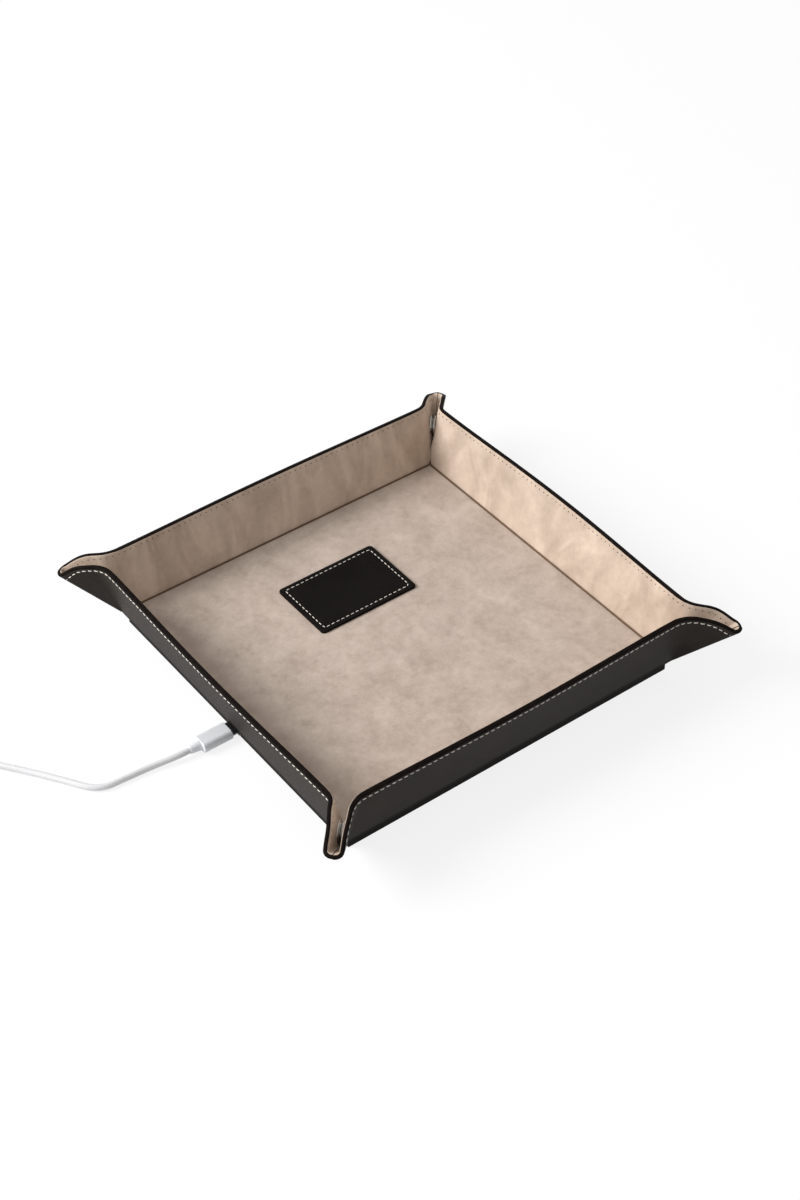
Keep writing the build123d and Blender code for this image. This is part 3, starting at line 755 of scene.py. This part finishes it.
def rim_stitches(shape, bow, wall, mirrored, inside):
    """Stitches outside, or the holes they leave in the suede drawn as dark dashes of painted shade, kept
    apart for the skin and the loop.
    """
    meshes = {False: ([], []), True: ([], [])}
    path = rim_path(shape, bow, inside)
    lengths = [0.0]
    for (_, a, _), (_, b, _) in zip(path, path[1:]):
        lengths.append(lengths[-1] + (b - a).length)
    count = round(lengths[-1] / STITCH_PITCH)
    pitch = lengths[-1] / count
    long = HOLE_LENGTH if inside else STITCH_LENGTH
    for index in range(count):
        middle = (index + 0.5) * pitch
        ends = []
        for side in (-0.5, 0.5):
            point, outward, sigma = along_path(path, lengths, middle + side * long)
            slant = 0.0 if inside else side * STITCH_SLANT
            ends.append(placed(point + UP * slant, wall, mirrored))
        if inside and sigma > shape["loop"] * HOLES_END:
            continue
        points, faces = meshes[sigma > shape["loop"]]
        facing = placed(outward, wall, mirrored).normalized()
        stitch(points, faces, ends[0], ends[1], facing, STITCH_RADIUS * MM)
    return meshes


def dress_half_wall(wall, mirrored):
    """Skin, suede and stitches of half a wall and the leaf at its end."""
    leaf = leaf_of(wall, mirrored)
    shape = leaf_shape(leaf)
    bow = BOW[wall]
    start, end = blend_ends(shape, wall, mirrored)
    outer_stitches = rim_stitches(shape, bow, wall, mirrored, False)
    holes = rim_stitches(shape, bow, wall, mirrored, True)
    for over_loop in (False, True):
        columns = wall_columns(shape, over_loop)
        suffix = "loop" if over_loop else "skin"
        rows, slots = skin_rows(shape, columns, bow, wall, mirrored)
        skin = grid_mesh(f"{leaf}_{suffix}", rows, (LEATHER, EDGE_PAINT), mirrored, slots)
        rows = suede_rows(shape, columns, bow, wall, mirrored)
        lining = grid_mesh(f"{leaf}_{suffix}_suede", rows, (SUEDE,), mirrored)
        threads = []
        for side, meshes, material in (("stitch", outer_stitches, THREAD), ("hole", holes, HOLE_SHADE)):
            points, faces = meshes[over_loop]
            if faces:
                threads.append(build_mesh(f"{leaf}_{suffix}_{side}", points, faces, (material,)))
        for piece in (skin, lining, *threads):
            if over_loop:
                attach(piece, leaf)
                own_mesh(piece)
            else:
                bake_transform(piece)
        if not over_loop:
            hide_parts(f"wall_{wall}_leather", f"wall_{wall}_board", f"{leaf}_leather")
            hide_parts(f"wall_{wall}_suede", f"{leaf}_suede")


# ---------------------------------------------------------------- folds
# Lengths in mm. The crease's line is (out from the floor's edge, up from the floor's top).
FOLD_SINK = 0.03
FOLD_ROUND = 0.5
FOLD_LAP = 0.05
FOLD_STEPS = 8
FOLD_COLUMNS = 48
CREASE = ((-1.2, -0.25), (-0.3, -0.5), (0.25, -0.45))
CREASE_UP = 1.2
CREASE_IN = 0.3


def fold_rows(profile, wall):
    """Rows along the whole wall for a profile of (out, height) in the front wall's frame."""
    rows = []
    for y, z in profile:
        row = []
        for x in spread(-1.0, 1.0, FOLD_COLUMNS):
            point = Vector((x * -y, y, z))
            row.append(placed(point, wall, False))
        rows.append(row)
    return rows


def mid_wall_point(p, w):
    """Point in the middle of the front wall, p up from the fold and w inward."""
    return leather_point(leaf_shape("leaf_front_right"), -PIVOT_Y, p, w, 0.0)


def dress_fold(wall):
    """Leather that rolls round the fold from the slab into the wall, in the slab's leather that is darkened
    as painted shade.
    """
    lean = math.degrees(math.asin(-UP.y))
    outer = [(-SLAB_HALF, SLAB_TOP - FOLD_SINK)]
    for angle in spread(-90.0, -180.0 - lean, FOLD_STEPS):
        turn = math.radians(angle)
        outer.append((-PIVOT_Y + FOLD_ROUND * math.cos(turn), PIVOT_Z + FOLD_ROUND * math.sin(turn)))
    foot = mid_wall_point(SKIN_FOOT + FOLD_LAP, LEATHER_OUT)
    outer.append((foot.y, foot.z))
    roll = grid_mesh(f"fold_{wall}", fold_rows(outer, wall), (SLAB_SHADED_LEATHER,), False)
    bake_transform(roll)


def dress_crease(wall):
    """Dark suede in the crease between the floor and the wall's lining, its darkness painted shade of the
    groove.
    """
    inside = mid_wall_point(SUEDE_FOOT + CREASE_UP, WALL_LEATHER_IN + CREASE_IN)
    crease = [(-FLOOR_HALF - out, FLOOR_TOP + up) for out, up in CREASE]
    crease.append((inside.y, inside.z))
    groove = grid_mesh(f"crease_{wall}", fold_rows(crease, wall), (CREASE_SHADE_SUEDE,), False)
    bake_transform(groove)


# ---------------------------------------------------------------- snaps
# Lengths in mm. Profiles are (back from the diagonal, radius).
SNAP_UP = 18.3
SNAP_OUT = 7.5
SNAP_BODY = [(1.8, 0.0), (1.8, 5.0), (1.3, 5.15), (1.1, 5.25), (0.85, 5.25), (0.72, 5.1), (0.66, 4.6)]
SNAP_BODY += [(0.6, 4.35), (0.3, 4.3), (0.16, 4.15), (0.1, 3.9)]
STUD_END = [(0.1, 2.2), (0.0, 1.95), (-0.5, 1.9), (-0.8, 1.85), (-0.95, 1.6), (-1.0, 1.2), (-1.0, 0.0)]
SOCKET_END = [(0.1, 2.6), (0.2, 2.4), (0.95, 2.35), (1.1, 2.2), (1.1, 0.0)]
SNAP_SIDES = 40


def dress_snap(wall, mirrored):
    """Turned half of a press snap on its leaf, a stud at one end of each wall and a socket at the other."""
    leaf = leaf_of(wall, mirrored)
    centre = CORNER_FOOT + UP * SNAP_UP + ALONG_LEAF * SNAP_OUT
    centre -= DIAGONAL * centre.dot(DIAGONAL)
    side = DIAGONAL.cross(Vector((0, 0, 1)))
    up = side.cross(DIAGONAL)
    profile = SNAP_BODY + (SOCKET_END if mirrored else STUD_END)
    rows = []
    for back, radius in profile:
        row = []
        for step in range(SNAP_SIDES + 1):
            turn = 2 * math.pi * step / SNAP_SIDES
            spoke = side * math.cos(turn) + up * math.sin(turn)
            row.append(placed(centre - DIAGONAL * back + spoke * radius, wall, mirrored))
        rows.append(row)
    snap = grid_mesh(f"{leaf}_press_snap", rows, (NICKEL,), not mirrored)
    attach(snap, leaf)
    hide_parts(f"{leaf}_snap")


# ---------------------------------------------------------------- floor and patch
# Lengths in mm. The floor lining's rolled edge is (in from the edge, down from the top).
FLOOR_ROLL = ((0.45, 0.62), (0.55, 0.16), (0.85, 0.03))
FLOOR_FLAT = 1.3
FLOOR_STEPS = 72
FLOOR_WAVE = 0.12
FLOOR_WAVES_PER_MM = 0.03
CORNER_STEPS = 8
# The patch as (in from its edge, up from its top, slot): painted edge, pressed line, slightly crowned top.
PATCH_SUNK = 0.1
PATCH_PROFILE = (
    (0.0, -0.45, 1),
    (0.12, -0.16, 1),
    (0.4, -0.03, 0),
    (0.9, 0.0, 0),
    (1.9, -0.02, 0),
    (2.3, -0.16, 0),
    (2.7, -0.16, 0),
    (3.1, 0.0, 0),
    (6.0, 0.05, 0),
    (10.0, 0.12, 0),
)
PATCH_CORNER = 1.8
PATCH_CORNER_LOSS = 0.4
LEAST_CORNER = 0.8
PATCH_STITCH_IN = 2.5
PATCH_STITCH_DOWN = 0.12
PATCH_PITCH = 0.9 * STITCH_PITCH
PATCH_STITCH_ENDS = (0.16, 0.84)


def rounded_loop(half_x, half_y, radius, height, centre):
    """Points round a rounded rectangle."""
    points = []
    for corner in range(4):
        sign_x = 1 if corner in (0, 3) else -1
        sign_y = 1 if corner in (0, 1) else -1
        middle = Vector((sign_x * (half_x - radius), sign_y * (half_y - radius), 0))
        for step in range(CORNER_STEPS + 1):
            angle = math.radians(90 * corner + 90 * step / CORNER_STEPS)
            offset = Vector((math.cos(angle), math.sin(angle), 0)) * radius
            point = middle + offset
            points.append((point.x + centre[0], point.y + centre[1], height))
    return points


def loops_mesh(name, loops, materials, slots):
    """Stacked closed loops, each joined to the next, the last one filled."""
    count = len(loops[0])
    points = [tuple(value * MM for value in point) for loop in loops for point in loop]
    faces = []
    face_slots = []
    for level in range(len(loops) - 1):
        for index in range(count):
            a = level * count + index
            b = level * count + (index + 1) % count
            faces.append((a, b, b + count, a + count))
            face_slots.append(slots[level])
    faces.append(tuple((len(loops) - 1) * count + index for index in range(count)))
    face_slots.append(slots[-1])
    return build_mesh(name, points, faces, materials, face_slots)


def dress_floor():
    """Suede sheet on the floor with rolled edges and a faint unevenness."""
    edges = [FLOOR_HALF - inset for inset, _ in FLOOR_ROLL]
    edge_drops = [drop for _, drop in FLOOR_ROLL]
    inner = spread(FLOOR_HALF - FLOOR_FLAT, -FLOOR_HALF + FLOOR_FLAT, FLOOR_STEPS)
    lines = edges + inner + [-value for value in reversed(edges)]
    drops = edge_drops + [0.0] * len(inner) + edge_drops[::-1]
    rows = []
    for y, drop_y in zip(lines, drops):
        row = []
        for x, drop_x in zip(lines, drops):
            drop = max(drop_x, drop_y)
            height = FLOOR_TOP - drop
            if drop == 0:
                height += noise.noise(Vector((x, y, 0)) * FLOOR_WAVES_PER_MM) * FLOOR_WAVE
            row.append((x * MM, y * MM, height * MM))
        rows.append(row)
    lining = grid_mesh("floor_lining", rows, (FLOOR_SHADED_SUEDE,), False)
    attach(lining, "base")
    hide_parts("floor_suede")


def dress_patch():
    """Raised patch: dark painted edge, pressed stitch line, slightly crowned top."""
    centre = ((PATCH_LOW[0] + PATCH_HIGH[0]) / 2 / MM, (PATCH_LOW[1] + PATCH_HIGH[1]) / 2 / MM)
    half_x = (PATCH_HIGH[0] - PATCH_LOW[0]) / 2 / MM
    half_y = (PATCH_HIGH[1] - PATCH_LOW[1]) / 2 / MM
    top = PATCH_HIGH[2] / MM
    steps = [(0.0, FLOOR_TOP - PATCH_SUNK, 1)]
    steps += [(inset, top + up, slot) for inset, up, slot in PATCH_PROFILE]
    loops = []
    for inset, height, _ in steps:
        corner = max(PATCH_CORNER - inset * PATCH_CORNER_LOSS, LEAST_CORNER)
        loops.append(rounded_loop(half_x - inset, half_y - inset, corner, height, centre))
    patch = loops_mesh("patch_leather", loops, (PATCH_LEATHER, EDGE_PAINT), [slot for _, _, slot in steps])
    line_x = half_x - PATCH_STITCH_IN
    line_y = half_y - PATCH_STITCH_IN
    line = rounded_loop(line_x, line_y, LEAST_CORNER, top - PATCH_STITCH_DOWN, centre)
    points, faces = stitch_path([Vector(point) * MM for point in line], Vector((0, 0, 1)))
    threads = build_mesh("patch_stitch", points, faces, (THREAD,))
    for piece in (patch, threads):
        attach(piece, "base")
    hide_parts("charging_patch")


def stitch_path(path, outward):
    """Points and faces of the stitches along a closed path."""
    closed = path + path[:1]
    lengths = [0.0]
    for a, b in zip(closed, closed[1:]):
        lengths.append(lengths[-1] + (b - a).length)

    def at(distance):
        for index in range(len(closed) - 1):
            if distance <= lengths[index + 1]:
                share = (distance - lengths[index]) / (lengths[index + 1] - lengths[index])
                return closed[index].lerp(closed[index + 1], share)

    points = []
    faces = []
    count = round(lengths[-1] / (PATCH_PITCH * MM))
    step = lengths[-1] / count
    for index in range(count):
        first, last = (at((index + share) * step) for share in PATCH_STITCH_ENDS)
        stitch(points, faces, first, last, outward, PATCH_THREAD * MM)
    return points, faces


# ---------------------------------------------------------------- cable
# Lengths in metres, as the CAD has them.
CORD_RADIUS = 0.0015
CORD_DETAIL = 5
RUN_ROUTE = [
    (-0.1115, -0.0020, 0.00275),
    (-0.1175, -0.0020, 0.00275),
    (-0.1285, 0.0007, 0.0016),
    (-0.1420, 0.0018, 0.0015),
    (-0.1550, 0.0026, 0.0015),
    (-0.1640, 0.0170, 0.0015),
    (-0.1740, 0.0316, 0.0015),
]
COIL_HEADING = math.radians(128.5)
COIL_START = Vector((-0.202, 0.0672, 0.00215))
COIL_LEAD = (0.020, 0.006)
COIL_INNER = 0.0095
COIL_STEP = 0.00175
COIL_LAYER = 0.0035
TURNS_IN = 7
TURNS_OUT = 8
POINTS_PER_HALF = 8
# The spline runs inside its points, so they stand out by this much to keep the coil's radius.
SWELL = 1 + (math.pi / POINTS_PER_HALF) ** 2 / 12
# The tail from the coil's end to the far plug, as (ahead, aside, height).
TAIL = (
    (0.006, 0.0, 0.00565),
    (0.012, 0.0, 0.00565),
    (0.026, 0.001, 0.00205),
    (0.038, 0.003, 0.00375),
    (0.046, 0.005, 0.00375),
)


def cable_route():
    """The route's points: the free run, the coil's half turns and the tail."""
    heading = Vector((math.cos(COIL_HEADING), math.sin(COIL_HEADING), 0))
    sideways = Vector((heading.y, -heading.x, 0))
    route = [Vector(point) for point in RUN_ROUTE]
    route += [COIL_START - heading * lead for lead in COIL_LEAD]
    here = Vector(COIL_START)
    side = 1
    counts = list(range(TURNS_IN, 0, -1)) + [0] + list(range(1, TURNS_OUT + 1))
    for index, count in enumerate(counts):
        radius = COIL_INNER + count * COIL_STEP
        climb = COIL_LAYER if index == TURNS_IN else 0.0
        middle = here - sideways * (radius * side)
        for step in range(POINTS_PER_HALF):
            share = (step + 0.5) / POINTS_PER_HALF
            angle = math.pi * share
            offset = sideways * (math.cos(angle) * side) + heading * (math.sin(angle) * side)
            rise = climb * (1 - math.cos(angle)) / 2
            route.append(middle + offset * (radius * SWELL) + Vector((0, 0, rise)))
        here = here - sideways * (2 * radius * side) + Vector((0, 0, climb))
        side = -side
    for ahead, aside, height in TAIL:
        place = here + heading * ahead + sideways * aside
        place.z = height
        route.append(place)
    return route


def dress_cable():
    """The whole cable as one smooth curve."""
    curve = bpy.data.curves.new("charging_cable", "CURVE")
    curve.dimensions = "3D"
    curve.bevel_depth = CORD_RADIUS
    curve.bevel_resolution = CORD_DETAIL
    curve.resolution_u = CORD_DETAIL
    curve.use_fill_caps = True
    route = cable_route()
    spline = curve.splines.new("NURBS")
    spline.points.add(len(route) - 1)
    for point, place in zip(spline.points, route):
        point.co = (*place, 1.0)
    spline.order_u = 3
    spline.use_endpoint_u = True
    curve.materials.append(JACKET)
    cable = bpy.data.objects.new("charging_cable", curve)
    bpy.context.scene.collection.objects.link(cable)
    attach(cable, "base")
    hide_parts("cord_run", "cord_coil", "cord_tail")


# ---------------------------------------------------------------- camera, floor and light
CAMERA_AZIMUTH = math.radians(-35.54)
CAMERA_ELEVATION = math.radians(42.02)
CAMERA_ROLL = math.radians(-1.45)
CAMERA_DISTANCE = 1.02506
CAMERA_TARGET = Vector((0.02096, 0.02292, 0.0))
CAMERA_CLIP = (0.05, 20.0)
SENSOR = 36.0
FOCAL_PIXELS = 2179.87
PHOTO_HEIGHT = 1200
GROUND_REACH = 4.0
GROUND_DROP = 0.0002
GROUND_GREY = 0.86
GROUND_ROUGHNESS = 0.7
GROUND_SPECULAR = 0.2
GROUND_GLOW = 0.8
GLOW_STRENGTH = 1.03
WORLD_STRENGTH = 0.52
KEY_DIRECTION = Vector((-0.85, 0.55, 0.7))
KEY_TARGET = Vector((0, 0, 0.01))
KEY_DISTANCE = 1.6
KEY_SIZE = 0.9
KEY_ENERGY = 31.0


def set_camera():
    """The photo's camera, as fitted to the tray's straight lines."""
    level = math.cos(CAMERA_ELEVATION)
    turned = Vector((math.sin(CAMERA_AZIMUTH), -math.cos(CAMERA_AZIMUTH), 0))
    back = turned * level + Vector((0, 0, math.sin(CAMERA_ELEVATION)))
    right = Vector((math.cos(CAMERA_AZIMUTH), math.sin(CAMERA_AZIMUTH), 0))
    up = back.cross(right)
    across = right * math.cos(CAMERA_ROLL) + up * math.sin(CAMERA_ROLL)
    upward = up * math.cos(CAMERA_ROLL) - right * math.sin(CAMERA_ROLL)
    data = bpy.data.cameras.new("camera")
    data.sensor_fit = "VERTICAL"
    data.sensor_height = SENSOR
    data.lens = SENSOR * FOCAL_PIXELS / PHOTO_HEIGHT
    data.clip_start, data.clip_end = CAMERA_CLIP
    camera = bpy.data.objects.new("camera", data)
    bpy.context.scene.collection.objects.link(camera)
    turn = Matrix((across, upward, back)).transposed().to_4x4()
    camera.matrix_world = Matrix.Translation(CAMERA_TARGET + back * CAMERA_DISTANCE) @ turn
    bpy.context.scene.camera = camera


def seen_directly(tree):
    """1 for rays from the camera and for those that gloss or glass sends on, 0 for the light's own."""
    path = tree.nodes.new("ShaderNodeLightPath")
    seen = add_math(tree, "MAXIMUM", path.outputs["Is Camera Ray"], path.outputs["Is Glossy Ray"])
    return add_math(tree, "MAXIMUM", seen, path.outputs["Is Transmission Ray"])


def set_floor():
    """Pale ground that takes the shadow, with a glow that only shows where it is seen directly."""
    corners = [(x * GROUND_REACH, y * GROUND_REACH, 0) for x, y in ((-1, -1), (1, -1), (1, 1), (-1, 1))]
    mesh = bpy.data.meshes.new("floor")
    mesh.from_pydata(corners, [], [(0, 1, 2, 3)])
    floor = bpy.data.objects.new("floor", mesh)
    bpy.context.scene.collection.objects.link(floor)
    material, tree, shader = new_material("pale_floor", GROUND_ROUGHNESS)
    shader.inputs["Base Color"].default_value = (GROUND_GREY, GROUND_GREY, GROUND_GREY, 1.0)
    shader.inputs["Specular IOR Level"].default_value = GROUND_SPECULAR
    glow = tree.nodes.new("ShaderNodeEmission")
    glow.inputs["Strength"].default_value = GLOW_STRENGTH
    mix = tree.nodes.new("ShaderNodeMixShader")
    tree.links.new(add_math(tree, "MULTIPLY", seen_directly(tree), GROUND_GLOW), mix.inputs["Fac"])
    tree.links.new(shader.outputs["BSDF"], mix.inputs[1])
    tree.links.new(glow.outputs["Emission"], mix.inputs[2])
    tree.links.new(mix.outputs["Shader"], tree.nodes["Material Output"].inputs["Surface"])
    mesh.materials.append(material)
    floor.location.z = -GROUND_DROP


def set_world():
    """White surroundings, brighter to the eye than as a light."""
    world = bpy.data.worlds.new("studio")
    bpy.context.scene.world = world
    world.use_nodes = True
    tree = world.node_tree
    background = tree.nodes["Background"]
    background.inputs["Color"].default_value = (1.0, 1.0, 1.0, 1.0)
    lift = add_math(tree, "MULTIPLY", seen_directly(tree), 1.0 - WORLD_STRENGTH)
    tree.links.new(add_math(tree, "ADD", lift, WORLD_STRENGTH), background.inputs["Strength"])


def set_key_light():
    """One large soft lamp from behind on the left."""
    data = bpy.data.lights.new("key", "AREA")
    data.shape = "DISK"
    data.size = KEY_SIZE
    data.energy = KEY_ENERGY
    light = bpy.data.objects.new("key", data)
    bpy.context.scene.collection.objects.link(light)
    light.location = KEY_TARGET + KEY_DIRECTION.normalized() * KEY_DISTANCE
    light.rotation_euler = (KEY_TARGET - light.location).to_track_quat("-Z", "Y").to_euler()


bpy.context.scene.view_settings.view_transform = "Standard"
set_camera()
set_floor()
set_world()
set_key_light()
paint_nodes()
for wall in WALLS:
    dress_half_wall(wall, False)
    dress_half_wall(wall, True)
    dress_snap(wall, False)
    dress_snap(wall, True)
    dress_fold(wall)
    dress_crease(wall)
dress_floor()
dress_patch()
dress_cable()
